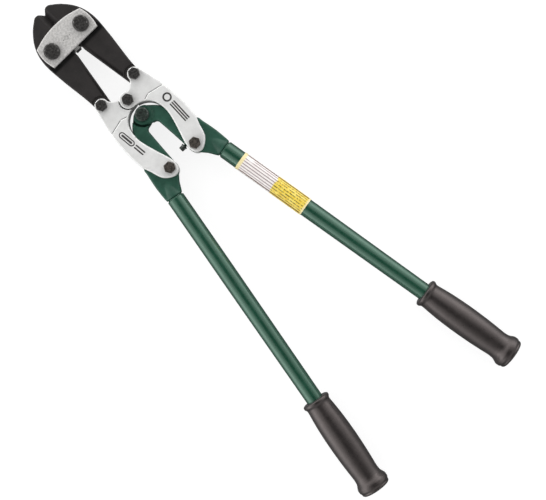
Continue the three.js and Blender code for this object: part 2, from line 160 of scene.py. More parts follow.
class Finish:
    """A material whose colour, roughness and bump are worked out from the piece's own space, in mm."""

    def __init__(self, name, **constants):
        self.material = bpy.data.materials.new(name)
        self.material.use_nodes = True
        self.tree = self.material.node_tree
        self.shader = self.tree.nodes["Principled BSDF"]
        for socket, value in constants.items():
            self.shader.inputs[socket.replace("_", " ")].default_value = value
        metres = self.node("ShaderNodeTexCoord").outputs["Object"]
        scaled = self.node("ShaderNodeVectorMath", {0: metres, "Scale": 1 / MM}, operation="SCALE")
        self.space = scaled.outputs[0]

    def node(self, kind, inputs=None, **settings):
        """Adds a node with these settings. Each input is another node's output or a plain value."""
        made = self.tree.nodes.new(kind)
        for key, value in settings.items():
            setattr(made, key, value)
        for key, value in (inputs or {}).items():
            self.feed(made.inputs[key], value)
        return made

    def feed(self, socket, value):
        """Links a node's output to the socket, or sets the socket to a plain value."""
        if isinstance(value, bpy.types.NodeSocket):
            self.tree.links.new(value, socket)
        else:
            socket.default_value = value

    def noise(self, size, detail, stretch=None):
        """Noise whose features are about `size` millimetres across."""
        place = self.space
        if stretch:
            place = self.node("ShaderNodeMapping", {"Vector": place, "Scale": stretch}).outputs[0]
        inputs = {"Vector": place, "Scale": 1 / size, "Detail": detail}
        return self.node("ShaderNodeTexNoise", inputs).outputs[0]

    def patchy(self, size, detail, to_low=0.0, to_high=1.0, spare=0.3):
        """Soft patches of two values, from noise that is cut off flat `spare` from each end of its range."""
        return self.spread(self.noise(size, detail), spare, 1 - spare, to_low, to_high)

    def spots(self, size, amount):
        """Small round spots, 1 inside and 0 outside."""
        cells = self.node("ShaderNodeTexVoronoi", {"Vector": self.space, "Scale": 1 / size})
        return self.spread(cells.outputs["Distance"], amount, amount * 0.4)

    def spread(self, value, low, high, to_low=0.0, to_high=1.0):
        """Maps low to to_low and high to to_high, straight between them and level beyond them."""
        inputs = {"Value": value, "From Min": low, "From Max": high, "To Min": to_low, "To Max": to_high}
        return self.node("ShaderNodeMapRange", inputs).outputs["Result"]

    def maths(self, operation, first, second=0.0):
        return self.node("ShaderNodeMath", {0: first, 1: second}, operation=operation).outputs[0]

    def axis(self, name):
        return self.node("ShaderNodeSeparateXYZ", {0: self.space}).outputs[name]

    def mix(self, amount, first, second):
        """Colour `first`, with `second` over it by `amount`."""
        factor, colour_a, colour_b, colour_out = 0, 6, 7, 2  # the mix node's sockets for colours
        inputs = {factor: amount, colour_a: rgba(first), colour_b: rgba(second)}
        return self.node("ShaderNodeMix", inputs, data_type="RGBA").outputs[colour_out]

    def bent(self, flat, sharp):
        """0 on flat stretches, and 1 on outside edges (sharp over 0.5) or in hollows (sharp under 0.5)."""
        bend = self.node("ShaderNodeNewGeometry").outputs["Pointiness"]
        return self.spread(bend, flat, sharp)

    def finish(self, colour, roughness, height=None, depth=0.1, strength=1.0):
        """Wires up the shader. The bump is `depth` millimetres deep, times its strength."""
        self.feed(self.shader.inputs["Base Color"], colour)
        self.feed(self.shader.inputs["Roughness"], roughness)
        if height is not None:
            inputs = {"Height": height, "Distance": depth * MM, "Strength": strength}
            self.feed(self.shader.inputs["Normal"], self.node("ShaderNodeBump", inputs).outputs[0])
        return self.material


def rgba(colour):
    return colour if isinstance(colour, bpy.types.NodeSocket) else (*colour, 1.0)


def floor_paper():
    """White acrylic lit from below, as on a product table, so that hardly a shadow shows."""
    look = Finish("floor_paper", Emission_Color=WHITE, Emission_Strength=FLOOR_GLOW)
    tone = look.mix(look.noise(60, 2), (0.24, 0.24, 0.24), (0.26, 0.26, 0.26))
    return look.finish(tone, 0.8)


def forged_black(strap_edge):
    """Hardened and blackened forging: mottled scale, faint pits, rubbed edges, and a painted shadow along the
    strap's lower edge.
    """
    look = Finish("forged_black", Metallic=0.0, Specular_IOR_Level=0.3)
    grain = look.noise(0.8, 5)
    colour = look.mix(look.patchy(16, 4), (0.014, 0.0122, 0.012), (0.022, 0.019, 0.0185))
    colour = look.mix(look.spread(grain, 0.56, 0.75, 0, 0.35), colour, (0.055, 0.048, 0.045))
    rubbing = look.spread(look.noise(7, 4), 0.35, 0.6, 0.05, 0.35)
    worn = look.maths("MULTIPLY", look.bent(0.515, 0.58), rubbing)
    colour = look.mix(worn, colour, (0.20, 0.19, 0.185))
    # Painted shadow: a near-black band along the strap's lower edge, made a little less rough too.
    behind_strap = look.maths("SUBTRACT", strap_edge / MM, look.axis("Y"))
    painted_shadow = look.maths("MULTIPLY", look.spread(behind_strap, 7.0, 4.2), look.spread(behind_strap, -8.0, -4.0))
    colour = look.mix(painted_shadow, colour, (0.0015, 0.0014, 0.0014))
    shadow_band_smoothing = look.maths("MULTIPLY", painted_shadow, 0.22)
    rough = look.maths("SUBTRACT", look.patchy(3, 4, 0.50, 0.60), shadow_band_smoothing)
    return look.finish(colour, rough, grain, 0.10, 0.6)


def cast_silver():
    """Satin cast metal with a fine sandy skin, with a painted highlight on its edges and painted shade in its
    corners.
    """
    look = Finish("cast_silver", Metallic=0.25, Specular_IOR_Level=0.5)
    grain = look.noise(0.7, 4)
    colour = look.mix(look.patchy(11, 5), (0.76, 0.76, 0.75), (0.86, 0.86, 0.85))
    colour = look.mix(look.spread(grain, 0.58, 0.75, 0, 0.3), colour, (0.55, 0.55, 0.55))
    # Painted highlight: lighter on the outside edges.
    colour = look.mix(look.bent(0.56, 0.66), colour, (0.95, 0.95, 0.95))
    # Painted shade: dark in the hollows and corners.
    colour = look.mix(look.bent(0.498, 0.484), colour, (0.07, 0.07, 0.068))
    return look.finish(colour, look.patchy(4, 3, 0.38, 0.52), grain, 0.06, 0.7)


def ground_steel():
    """Flat-ground plate: long fine scratches over a mottled satin surface, with a painted highlight on its
    edges.
    """
    look = Finish("ground_steel", Metallic=0.3, Specular_IOR_Level=0.5)
    scratches = look.noise(0.35, 3, stretch=(0.02, 1, 1))
    mottle = look.patchy(2.6, 6, spare=0.35)
    colour = look.mix(mottle, (0.50, 0.49, 0.475), (0.72, 0.705, 0.69))
    colour = look.mix(look.spread(scratches, 0.5, 0.7, 0, 0.35), colour, (0.80, 0.79, 0.78))
    # Painted highlight: lighter along the edges.
    colour = look.mix(look.bent(0.53, 0.62), colour, (0.88, 0.87, 0.86))
    rough = look.spread(scratches, 0.3, 0.7, 0.34, 0.50)
    return look.finish(colour, rough, scratches, 0.03, 0.6)


def plain_steel(top):
    """Bare steel in its own colour on its top face, with painted shade making everything below that face near
    black.
    """
    look = Finish("plain_steel", Metallic=0.3)
    grain = look.noise(0.5, 4)
    colour = look.mix(look.patchy(3, 4, spare=0.35), (0.24, 0.235, 0.23), (0.36, 0.355, 0.35))
    # Painted shade: near black from just below the top face downwards.
    painted_shade_below_top = look.spread(look.axis("Z"), top / MM - 0.5, top / MM - 1.2)
    colour = look.mix(painted_shade_below_top, colour, (0.010, 0.0095, 0.009))
    rough = look.spread(grain, 0.3, 0.7, 0.36, 0.52)
    return look.finish(colour, rough, grain, 0.04, 0.6)


def black_oxide(name, tint, rim):
    """Oil-blackened bolt steel: dark, blotchy and slightly satin, lighter on its corners, as rubbed wear and
    as a painted highlight.
    """
    look = Finish(name, Metallic=0.5, Specular_IOR_Level=0.45)
    grain = look.noise(0.45, 4)
    darker = tuple(0.4 * part for part in tint)
    lighter = tuple(1.25 * part for part in tint)
    colour = look.mix(look.patchy(2.2, 4, spare=0.38), darker, lighter)
    # Lighter corners: rubbed wear, and a painted highlight on the rim.
    colour = look.mix(look.bent(0.515, 0.58), colour, rim)
    return look.finish(colour, look.patchy(1.5, 3, 0.34, 0.52), grain, 0.05, 0.7)


def painted_forging():
    """Green paint over a forged skin, chipped to bare metal on the sharpest edges, with painted shade in its
    hollows.
    """
    look = Finish("painted_forging", Metallic=0.0, Specular_IOR_Level=0.32,
                  Coat_Weight=0.1, Coat_Roughness=0.3)
    skin = look.noise(1.6, 4)
    colour = look.mix(look.patchy(12, 4, spare=0.35), (0.013, 0.064, 0.041), (0.021, 0.089, 0.058))
    chips = look.maths("MULTIPLY", look.bent(0.56, 0.63), look.spread(look.noise(3, 5), 0.42, 0.55))
    colour = look.mix(chips, colour, (0.40, 0.42, 0.40))
    # Painted shade: dark in the hollows.
    colour = look.mix(look.bent(0.47, 0.38), colour, (0.004, 0.016, 0.011))
    rough = look.spread(skin, 0.3, 0.7, 0.42, 0.58)
    return look.finish(colour, rough, skin, 0.12, 0.5)


def gloss_paint():
    """Gloss green enamel on tube, with a trace of orange peel and a few pale specks."""
    look = Finish("gloss_paint", Metallic=0.0, Specular_IOR_Level=0.9, Specular_Tint=(0.62, 1, 0.80, 1),
                  Coat_Weight=0.4, Coat_Roughness=0.10)
    peel = look.noise(2.4, 2)
    colour = look.mix(look.patchy(30, 3, spare=0.35), (0.006, 0.046, 0.026), (0.009, 0.058, 0.034))
    specks = look.spots(5.0, 0.05)
    colour = look.mix(look.maths("MULTIPLY", specks, 0.5), colour, (0.10, 0.20, 0.15))
    return look.finish(colour, look.patchy(6, 4, 0.22, 0.34), peel, 0.03, 0.35)


def moulded_rubber():
    """Dark warm-grey grip rubber with a fine spark-eroded grain and a dusty bloom, with painted shade in its
    grooves.
    """
    look = Finish("moulded_rubber", Specular_IOR_Level=0.85, Specular_Tint=(1, 0.88, 0.86, 1),
                  Sheen_Weight=0.05, Sheen_Roughness=0.5)
    grain = look.noise(0.6, 5)
    bloom = look.patchy(9, 5, spare=0.35)
    colour = look.mix(bloom, (0.009, 0.0075, 0.0073), (0.016, 0.0135, 0.013))
    colour = look.mix(look.spread(grain, 0.55, 0.75, 0, 0.4), colour, (0.065, 0.056, 0.054))
    # Painted shade: darker in the grooves and hollows.
    colour = look.mix(look.bent(0.49, 0.46), colour, (0.003, 0.0026, 0.0026))
    return look.finish(colour, look.patchy(2.5, 4, 0.27, 0.37), grain, 0.12, 0.55)


LABEL_WHITE = 0.52  # the white band's share of the label's length
LABEL_ROWS = 21  # rows of hairlines or bars all the way round
LABEL_PRINT = 0.12  # the print ends this far round from the top line, in turns
LABEL_BORDER = 0.172  # and a thin border line runs this far round


def printed_film():
    """Wrapped film: a pale band with plain hairlines, then a yellow band with plain rows of bars.

    Both have cream ends and a thin brown border line along each side.
    """
    look = Finish("printed_film", Specular_IOR_Level=0.4, Coat_Weight=0.1, Coat_Roughness=0.2)
    uv = look.node("ShaderNodeUVMap", uv_map="wrap").outputs[0]
    parts = look.node("ShaderNodeSeparateXYZ", {0: uv})
    around, along = parts.outputs["X"], parts.outputs["Y"]

    def distance(value, middle):
        return look.maths("ABSOLUTE", look.maths("SUBTRACT", value, middle))

    row = look.maths("FRACT", look.maths("MULTIPLY", around, LABEL_ROWS))
    line = look.spread(distance(row, 0.5), 0.19, 0.11)
    off_top = look.maths("SUBTRACT", 0.5, distance(around, 0.5))
    printed = look.spread(off_top, LABEL_PRINT + 0.015, LABEL_PRINT)
    border = look.spread(distance(off_top, LABEL_BORDER), 0.020, 0.010)
    inset = look.maths("MULTIPLY", look.spread(along, 0.035, 0.055), look.spread(along, 0.985, 0.97))

    drawn = look.maths("MULTIPLY", line, look.spread(look.noise(16, 1, stretch=(1, 0.4, 1)), 0.36, 0.42))
    white = look.mix(look.patchy(7, 4, spare=0.35), (0.86, 0.80, 0.78), (0.94, 0.90, 0.88))
    white = look.mix(look.maths("MULTIPLY", drawn, printed), white, (0.27, 0.20, 0.21))

    dashed = look.maths("MULTIPLY", line, look.spread(look.noise(2.2, 3), 0.42, 0.50))
    yellow = look.mix(look.patchy(3.5, 4, spare=0.35), (0.82, 0.56, 0.035), (0.95, 0.78, 0.16))
    yellow = look.mix(look.maths("MULTIPLY", dashed, printed), yellow, (0.06, 0.038, 0.006))

    ragged = look.maths("ADD", along, look.patchy(9, 3, -0.012, 0.012))
    band = look.spread(ragged, LABEL_WHITE - 0.006, LABEL_WHITE + 0.006)
    colour = look.mix(inset, (0.90, 0.78, 0.42), look.mix(band, white, yellow))
    colour = look.mix(look.maths("MULTIPLY", border, inset), colour, (0.13, 0.065, 0.05))
    return look.finish(colour, look.patchy(3, 3, 0.40, 0.55), look.noise(1.2, 3), 0.02, 0.4)


def stamped():
    """The shaded floor of a shallow stamped mark."""
    look = Finish("stamped", Metallic=0.3)
    tone = look.mix(look.noise(0.8, 4), (0.16, 0.155, 0.15), (0.30, 0.29, 0.28))
    return look.finish(tone, look.patchy(0.6, 3, 0.4, 0.6), look.noise(0.4, 3), 0.03, 0.5)


def dark_fill():
    """Matt dark filling of a printed or etched mark."""
    look = Finish("dark_fill", Specular_IOR_Level=0.3)
    tone = look.mix(look.noise(1.0, 4), (0.030, 0.028, 0.028), (0.060, 0.056, 0.055))
    return look.finish(tone, look.patchy(0.8, 3, 0.5, 0.7), look.noise(0.5, 3), 0.03, 0.5)


# ------------------------------------------------------------------ geometry


def new_piece(name, points, faces):
    mesh = bpy.data.meshes.new(name)
    mesh.from_pydata(points, [], faces)
    mesh.update()
    piece = bpy.data.objects.new(name, mesh)
    scene.collection.objects.link(piece)
    return piece


def reshape(piece, change):
    """Runs `change` on the piece's mesh as a bmesh."""
    shape = bmesh.new()
    shape.from_mesh(piece.data)
    change(shape)
    shape.to_mesh(piece.data)
    shape.free()


def spun(place, radius, angle, height):
    """The point at a radius, an angle and a height in mm about the local Z of `place`."""
    return place @ (Vector((radius * math.cos(angle), radius * math.sin(angle), height)) * MM)


def band(low, high, segments):
    """The faces between two rings whose points start at `low` and at `high`."""
    following = [(step + 1) % segments for step in range(segments)]
    return [(low + step, low + after, high + after, high + step) for step, after in enumerate(following)]


def settle(piece):
    """Applies the piece's modifiers and smooths its shading. Large flat faces stay flat up to their edges."""
    bpy.context.view_layer.update()
    evaluated = piece.evaluated_get(bpy.context.evaluated_depsgraph_get())
    mesh = bpy.data.meshes.new_from_object(evaluated)
    piece.modifiers.clear()
    piece.data = mesh
    mesh.shade_smooth()
    mesh.set_sharp_from_angle(angle=SHARP)
    weigh = piece.modifiers.new("weigh", "WEIGHTED_NORMAL")
    weigh.keep_sharp = True
    weigh.weight = 100
    return piece


def copy_of(node):
    """A copy of a CAD node's mesh, with the corners that the file splits joined again."""
    piece = bpy.data.objects.new(node + "_skin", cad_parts[node].data.copy())
    piece.data.materials.clear()
    scene.collection.objects.link(piece)

    def join_corners(shape):
        bmesh.ops.remove_doubles(shape, verts=shape.verts, dist=JOIN_WITHIN * MM)
        bmesh.ops.dissolve_degenerate(shape, edges=shape.edges, dist=SHORTEST_EDGE * MM)

    reshape(piece, join_corners)
    return piece


def recast(node, passes):
    """The CAD shape with its edges rounded over, as a forging's or a casting's are."""
    piece = copy_of(node)
    remesh = piece.modifiers.new("remesh", "REMESH")
    remesh.mode = "VOXEL"
    remesh.voxel_size = RECAST_VOXEL * MM
    soften = piece.modifiers.new("soften", "SMOOTH")
    soften.factor = 0.5
    soften.iterations = passes
    thin = piece.modifiers.new("thin", "DECIMATE")
    thin.ratio = RECAST_KEEP
    return settle(piece)


def machined(node, width):
    """The CAD shape with a small break on every sharp edge, as on a ground plate."""
    piece = copy_of(node)
    same_plane = math.radians(1)

    def join_faces(shape):
        bmesh.ops.dissolve_limit(shape, angle_limit=same_plane, verts=shape.verts, edges=shape.edges)

    reshape(piece, join_faces)
    return soften_corners(piece, width, segments=3)


def soften_corners(piece, width, segments=2, sharp=24):
    """Rounds every edge whose faces turn by more than `sharp` degrees, to a width in mm."""
    bevel = piece.modifiers.new("edges", "BEVEL")
    bevel.width = width * MM
    bevel.segments = segments
    bevel.limit_method = "ANGLE"
    bevel.angle_limit = math.radians(sharp)
    bevel.use_clamp_overlap = False
    settle(piece)
    frame_flats(piece)
    return piece


def frame_flats(piece):
    """Gives each large flat face a narrow border, so that edge wear and painted edge highlights stay near the
    edge.
    """
    def add_borders(shape):
        large = [face for face in shape.faces if face.calc_area() > LARGE_FLAT * MM**2]
        bmesh.ops.inset_region(shape, faces=large, thickness=FLAT_BORDER * MM, use_even_offset=True,
                               use_boundary=True)

    reshape(piece, add_borders)


def rounded(profile, radius, steps=3):
    """The profile with each corner rounded to about the given radius."""
    points = [Vector(point) for point in profile]
    result = [points[0]]
    for before, corner, after in zip(points, points[1:], points[2:]):
        back, ahead = before - corner, after - corner
        reach = min(radius, 0.45 * back.length, 0.45 * ahead.length)
        start, end = corner + back.normalized() * reach, corner + ahead.normalized() * reach
        for step in range(steps + 1):
            share = step / steps
            result.append(start * (1 - share) ** 2 + corner * 2 * share * (1 - share) + end * share**2)
    result.append(points[-1])
    return [(point.x, point.y) for point in result]


def flowing(places, per_span):
    """Points of a smooth Catmull-Rom curve through the given places."""
    knots = [Vector(place) for place in places]
    knots = [2 * knots[0] - knots[1], *knots, 2 * knots[-1] - knots[-2]]
    result = []
    for before, start, end, after in zip(knots, knots[1:], knots[2:], knots[3:]):
        for step in range(per_span):
            share = step / per_span
            place = start * 2 + (end - before) * share
            place += (before * 2 - start * 5 + end * 4 - after) * share**2
            place += (start * 3 - before - end * 3 + after) * share**3
            result.append(tuple(place / 2))
    return [*result, tuple(knots[-2])]


def turned(node, profile, place, wrap=None):
    """A node's new skin: a profile of (radius, height) points in mm, turned about the local Z of `place`.

    A profile that starts and ends on the axis closes there. Otherwise its ends must be the same point.
    With `wrap`, the low and high height of a printed area, it also gets a texture wrap.
    """
    on_axis = profile[0][0] < ON_AXIS and profile[-1][0] < ON_AXIS
    rings = profile[1:-1] if on_axis else profile[:-1]
    points, faces = [], []
    for radius, height in rings:
        points += [spun(place, radius, math.tau * step / ROUND, height) for step in range(ROUND)]
    count = len(rings)
    for ring in range(count - 1 if on_axis else count):
        faces += band(ring * ROUND, (ring + 1) % count * ROUND, ROUND)
    if on_axis:
        for ring, (_, height), order in ((0, profile[0], -1), (count - 1, profile[-1], 1)):
            hub = len(points)
            points.append(spun(place, 0, 0, height))
            for step in range(ROUND):
                corners = (ring * ROUND + step, ring * ROUND + (step + 1) % ROUND, hub)
                faces.append(corners[::order])
    piece = new_piece(node + "_skin", points, faces)
    if wrap:
        add_wrap(piece, place, wrap)
    outward(piece)
    return settle(piece)


def add_wrap(piece, place, span):
    """A texture layer with the way round in X and the way along in Y, each from 0 to 1."""
    low, high = span
    layer = piece.data.uv_layers.new(name="wrap").data
    inverse = place.inverted()
    local = [inverse @ vertex.co for vertex in piece.data.vertices]
    for face in piece.data.polygons:
        corners = [local[index] for index in face.vertices]
        rounds = [math.atan2(point.y, point.x) / math.tau % 1.0 for point in corners]
        if max(rounds) - min(rounds) > 0.5:
            rounds = [value + 1 if value < 0.5 else value for value in rounds]
        for i, value, point in zip(face.loop_indices, rounds, corners):
            layer[i].uv = (value, (point.z / MM - low) / (high - low))


def outward(piece):
    """Turns every face's front to the outside."""
    reshape(piece, lambda shape: bmesh.ops.recalc_face_normals(shape, faces=shape.faces))


def ringed(node, rings, place, segments=72, closed=False):
    """A node's new skin over rings, each a function that gives (radius, height) in mm for an angle."""
    points, faces = [], []
    for ring in rings:
        for step in range(segments):
            angle = math.tau * step / segments
            radius, height = ring(angle)
            points.append(spun(place, radius, angle, height))
    count = len(rings)
    for index in range(count if closed else count - 1):
        faces += band(index * segments, (index + 1) % count * segments, segments)
    if not closed:
        faces.append(tuple(range(segments)))
        faces.append(tuple(range((count - 1) * segments, count * segments)))
    piece = new_piece(node + "_skin", points, faces)
    outward(piece)
    return piece


def hexagon_radius(across, angle):
    """How far a hexagon's outline is from its middle at an angle."""
    sixth = math.radians(60)
    return across / 2 / math.cos((angle + sixth) % sixth - sixth / 2)


def level(radius, height):
    """A round ring."""
    return lambda angle: (radius, height)


def flats(across, height):
    """A hexagonal ring."""
    return lambda angle: (hexagon_radius(across, angle), height)


def coned(across, height, towards):
    """The edge where a cone trims a hexagon's corners near its upper (1) or its lower (-1) face."""
    start = ROUND_FACE * across

    def edge(angle):
        radius = hexagon_radius(across, angle)
        return radius, height - towards * (radius - start) * math.tan(CORNER_CONE)

    return edge


def thread(radius, pitch, depth, low, high):
    """Rings along a screw thread, from high to low."""
    count = max(2, round((high - low) / pitch * RINGS_PER_TURN))

    def ring(height):
        def edge(angle):
            turn = (height / pitch - angle / math.tau) % 1.0
            return radius - depth * (1 - abs(2 * turn - 1)), height

        return edge

    return [ring(high + (low - high) * step / count) for step in range(count + 1)]


# ------------------------------------------------------------------ places, from the frame


def centre_of(node):
    low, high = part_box(node)
    return (low + high) / 2


def upright(node):
    """A frame on the floor under the middle of an upright fastener."""
    middle = centre_of(node)
    return Matrix.Translation((middle.x, middle.y, 0))


def lying(node):
    """A frame at the left-hand end of a fastener that lies along X, with Z along it, and its length in mm."""
    low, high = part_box(node)
    middle = (low + high) / 2
    place = Matrix(((0, 0, 1), (0, -1, 0), (1, 0, 0))).to_4x4()
    place.translation = (low.x, middle.y, middle.z)
    return place, (high.x - low.x) / MM


def heights(node):
    """The node's lowest and highest point in mm."""
    low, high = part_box(node)
    return low.z / MM, high.z / MM


def along_node(node):
    """For a long turned node: a frame at its upper end with Z down the handle, and its length in mm."""
    points = np.array([vertex.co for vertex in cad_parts[node].data.vertices])
    points = np.unique(points.round(6), axis=0)
    middle = points.mean(axis=0)
    direction = np.linalg.svd(points - middle, full_matrices=False)[2][0]
    if direction[1] > 0:
        direction = -direction
    reach = (points - middle) @ direction
    z_axis = Vector(direction)
    x_axis = Vector((0, 0, 1))
    y_axis = z_axis.cross(x_axis)
    place = Matrix((x_axis, y_axis, z_axis)).transposed().to_4x4()
    place.translation = Vector(middle + direction * reach.min())
    return place, (reach.max() - reach.min()) / MM


# ------------------------------------------------------------------ pieces


def fit(piece, node, body, material):
    """Puts a finished piece in its CAD node's place."""
    piece.data.materials.clear()
    piece.data.materials.append(material)
    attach(piece, body)
    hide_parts(node)


PLAIN_TIP = 1.0  # the last stretch of a bolt, below its thread
THREAD_TOP = 9.0  # a bolt's thread reaches this far up from its tip


def make_hex_bolt(node, across, shank, head):
    """A hexagon head with trimmed corners and a washer face, over a shank that ends in a thread."""
    low, high = heights(node)
    under = high - head
    rings = [level(across * 0.3, high), level(across * ROUND_FACE, high), coned(across, high, 1),
             flats(across, under + 0.5), level(across * ROUND_FACE, under + 0.3),
             level(across * 0.46, under), level(shank, under)]
    rings += thread(shank, 1.5, 0.7, low + PLAIN_TIP, low + THREAD_TOP)
    rings += [level(shank - 1.0, low)]
    return soften_corners(ringed(node, rings, upright(node)), 0.18, sharp=26)


def make_round_bolt(node, radius, chamfer, shank, head):
    """A flat round head with a chamfered rim, over a shank that ends in a thread."""
    low, high = heights(node)
    under = high - head
    head_profile = rounded([(0, high), (radius - chamfer, high), (radius, high - chamfer),
                            (radius, under + 0.1), (radius - 0.4, under), (shank, under)], 0.45)
    rings = [level(*point) for point in head_profile[1:]]
    rings += thread(shank, 1.75, 0.8, low + PLAIN_TIP, low + THREAD_TOP)
    rings += [level(shank - 1.1, low)]
    piece = settle(ringed(node, rings, upright(node)))
    frame_flats(piece)
    return piece


def make_nut(node, across, bore, place=None, span=None):
    """A hexagon nut with a threaded bore, upright over the node's own height unless told otherwise."""
    low, high = span or heights(node)
    mouth = 0.8  # width and depth of the chamfer at each end of the bore
    inside = 0.9  # where the thread ends below each face
    rings = [level(bore + mouth, high), level(across * ROUND_FACE, high), coned(across, high, 1),
             coned(across, low, -1), level(across * ROUND_FACE, low), level(bore + mouth, low),
             level(bore, low + mouth)]
    rings += thread(bore + 0.5, 1.5, 0.5, low + inside, high - inside)[::-1]
    rings += [level(bore, high - mouth)]
    piece = ringed(node, rings, place or upright(node), closed=True)
    return soften_corners(piece, 0.15, sharp=28)


def make_stop_screw(node):
    """A socket-headed set screw lying across the tool, its head towards the other handle."""
    place, length = lying(node)
    socket = 3.6  # across its flats
    head, shank, tip = 3.65, 2.3, 1.7  # radii
    head_end = 4.6
    rings = [flats(socket, 2.2), flats(socket, 0), level(2.9, 0), level(head, 0.8),
             level(head, head_end), level(2.2, head_end)]
    rings += thread(shank, 0.8, 0.45, 5.2, length - 0.4)[::-1]
    rings += [level(tip, length)]
    return soften_corners(ringed(node, rings, place, segments=48), 0.12, sharp=30)


def make_washer(node, inner, outer):
    """A split spring washer: a square wire bent round, its two ends not quite meeting."""
    low, high = heights(node)
    place = upright(node)
    section = [(inner, low), (outer, low), (outer, high), (inner, high)]
    gap = math.radians(5)  # half of the split
    steps = 72
    points, faces = [], []
    for step in range(steps + 1):
        angle = gap + (math.tau - 2 * gap) * step / steps
        points += [spun(place, radius, angle, height) for radius, height in section]
    for step in range(steps):
        faces += band(step * 4, (step + 1) * 4, 4)
    faces += [(3, 2, 1, 0), tuple(steps * 4 + side for side in range(4))]
    piece = new_piece(node + "_skin", points, faces)
    outward(piece)
    return soften_corners(piece, 0.25, sharp=30)


def make_tube(node, radius, end_radius, bore, straight):
    """A tube, straight and then slightly tapered, with a groove where it meets its forging."""
    place, length = along_node(node)
    seam = radius - 1.3
    taper_end = length * 0.7
    profile = rounded([(bore, 0), (seam, 0), (seam, 0.8), (radius, 1.7), (radius, straight),
                       (end_radius, taper_end), (end_radius, length), (bore, length), (bore, 0)], 0.4)
    profile[-1] = profile[0]
    return turned(node, profile, place)


GRIP_START = 2.6  # from the CAD grip's own end
GRIP_BORE = 11.9
GRIP_FLOOR = 133.3  # where the bore for the tube ends
GRIP_COLLAR = [(16.8, GRIP_START), (18.9, 3.7), (19.4, 4.9), (19.4, 7.2), (18.3, 8.8), (17.5, 10.4),
               (17.4, 12.4)]
GRIP_HOLD = [(17.6, 15.0), (18.7, 27.0), (19.7, 43.0), (20.2, 66.0), (19.8, 90.0), (19.0, 107.0),
             (18.3, 118.0), (18.2, 123.0)]
GRIP_END = [(18.6, 127.4), (19.5, 130.0), (21.0, 132.8), (22.1, 135.4), (22.1, 139.8), (21.4, 141.6),
            (20.5, 142.8), (20.8, 144.0), (20.4, 145.4), (18.8, 146.9), (16.8, 146.9), (15.6, 143.4),
            (7.0, 142.6), (0, 142.6)]


def make_grip(node):
    """A grip: a collar, a swelling hold, and a flared and dished end with a fine bead round it."""
    place, _ = along_node(node)
    outer = rounded([*GRIP_COLLAR, *flowing(GRIP_HOLD, 5), *GRIP_END], 1.0, 4)
    mouth = [(GRIP_BORE, GRIP_START + 0.6), (GRIP_BORE + 0.6, GRIP_START)]
    return turned(node, [(0, GRIP_FLOOR), (GRIP_BORE, GRIP_FLOOR), *mouth, *outer], place)


def make_label(node):
    """The label's sleeve, with the radii that its CAD node has."""
    place, length = along_node(node)
    points = np.array([vertex.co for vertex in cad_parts[node].data.vertices])
    local = (points - np.array(place.translation)) @ np.array(place.to_3x3())
    radii = np.hypot(local[:, 0], local[:, 1]) / MM
    inner, outer = radii.min(), radii.max()
    profile = rounded([(inner, 0), (outer, 0), (outer, length), (inner, length), (inner, 0)], 0.1)
    profile[-1] = profile[0]
    return turned(node, profile, place, wrap=(0, length))


MARK_DEPTH = 0.3
MARK_PROUD = 0.06
RIGHT_MARK = (-12, -79)  # from the jaw end of the right link's outer edge
LEFT_MARK = (14.5, -73.5)  # and from that of the left link's
STAMP = (0, -3)  # from the middle of the strap


def bar(length, width, x=0.0, y=0.0, steps=10):
    """The outline of a bar with round ends, lying along Y. With its length as its width it is a disc."""
    radius = width / 2
    reach = length / 2 - radius
    points = []
    for end in (1, -1):
        for step in range(steps + 1):
            angle = math.pi * step / steps
            points.append((x + end * radius * math.cos(angle), y + end * (reach + radius * math.sin(angle))))
    return points


def on_face(x, y, top, shift, turn=0.0, proud=MARK_PROUD):
    """A frame just proud of an upward face, `shift` mm away from x and y and turned about Z."""
    place = (x + shift[0] * MM, y + shift[1] * MM, top + proud * MM)
    return Matrix.Translation(place) @ Matrix.Rotation(turn, 4, "Z")


def make_mark(name, place, shapes, body, material):
    """Thin inlays on a flat face. Each shape is an outline, with an opening of as many points or None."""
    points, faces = [], []
    for outline, opening in shapes:
        start, count = len(points), len(outline)
        points += [place @ (Vector((x, y, 0)) * MM) for x, y in outline + (opening or [])]
        if opening:
            faces += band(start, start + count, count)
        else:
            faces.append(tuple(range(start, start + count)))
    piece = new_piece(name, points, faces)
    sink = piece.modifiers.new("sink", "SOLIDIFY")
    sink.thickness = MARK_DEPTH * MM
    sink.offset = -1
    settle(piece)
    piece.data.materials.append(material)
    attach(piece, body)


def make_marks():
    """Plain dark shapes where such tools carry printed marks: they spell and stand for nothing."""
    dark = dark_fill()
    low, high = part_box("link_right")
    place = on_face(high.x, high.y, high.z, RIGHT_MARK, turn=-0.03)
    ring = (bar(12.6, 12.6, y=17), bar(8.0, 8.0, y=17))
    bars = [(bar(31, 1.9, x, -7.5), None) for x in (-3.2, 0.0, 3.2)]
    make_mark("mark_right", place, [ring, *bars], "link_right", dark)

    low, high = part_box("link_left")
    place = on_face(low.x, high.y, high.z, LEFT_MARK, turn=0.10)
    framed = (bar(25, 8.6, y=9), bar(22, 5.6, y=9))
    inside = (bar(18, 2.8, y=9), None)
    tails = [(bar(16, 2.0, x, -13), None) for x in (-1.9, 1.9)]
    make_mark("mark_left", place, [framed, inside, *tails], "link_left", dark)

    low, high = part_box("strap_front")
    middle = (low + high) / 2
    place = on_face(middle.x, middle.y, high.z, STAMP, proud=MARK_PROUD / 2)
    diamond = [(0, -3.4), (3.4, 0), (0, 3.4), (-3.4, 0)]
    opening = [(0.72 * x, 0.72 * y) for x, y in diamond]
    dots = [(bar(1.5, 1.5, x, steps=6), None) for x in (-5.2, 5.2)]
    make_mark("stamp", place, [(diamond, opening), *dots], "head", stamped())


